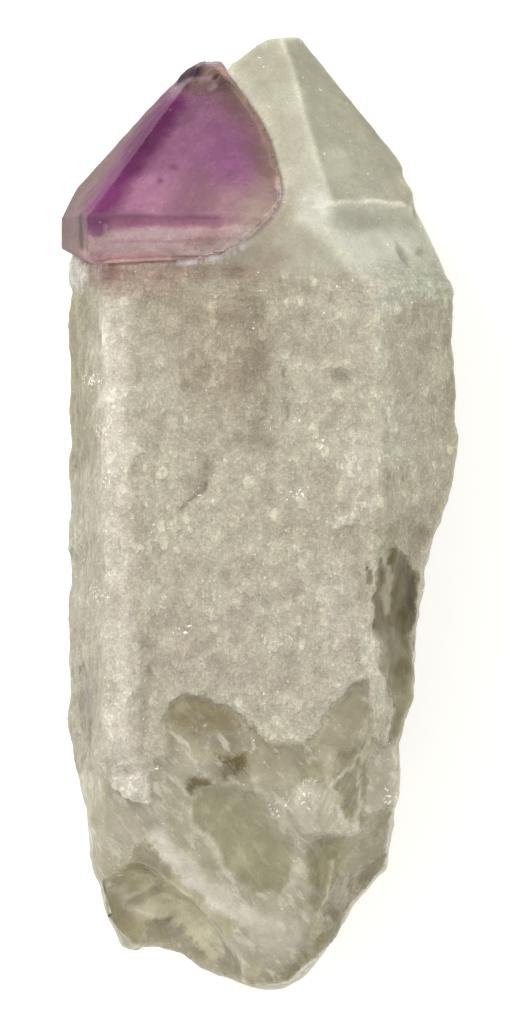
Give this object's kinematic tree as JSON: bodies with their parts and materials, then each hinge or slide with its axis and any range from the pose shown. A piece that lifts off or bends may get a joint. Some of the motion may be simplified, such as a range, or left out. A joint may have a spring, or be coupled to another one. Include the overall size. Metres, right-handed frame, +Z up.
{
  "type": "amethyst scepter crystal",
  "caption": "Milky quartz prism with a pointed end and a broken base, and a clear purple amethyst cap on one shoulder, lying on its flat back face.",
  "frame": {"origin": "middle of the specimen's length and width, on the surface that it lies on", "axes": "+Y along the crystal's c axis towards the tips, +X to its right as its front face is looked at, +Z up out of the front face"},
  "size_m": [0.0434, 0.1002, 0.0305],
  "materials": {
    "milky_quartz": "rough, sugary milky quartz, glassy where it is broken",
    "amethyst": "clear purple crystal, darkest along its left edge"
  },
  "bodies": {
    "root": {"quartz_stem": "milky_quartz", "amethyst_cap": "amethyst"}
  },
  "joints": []
}
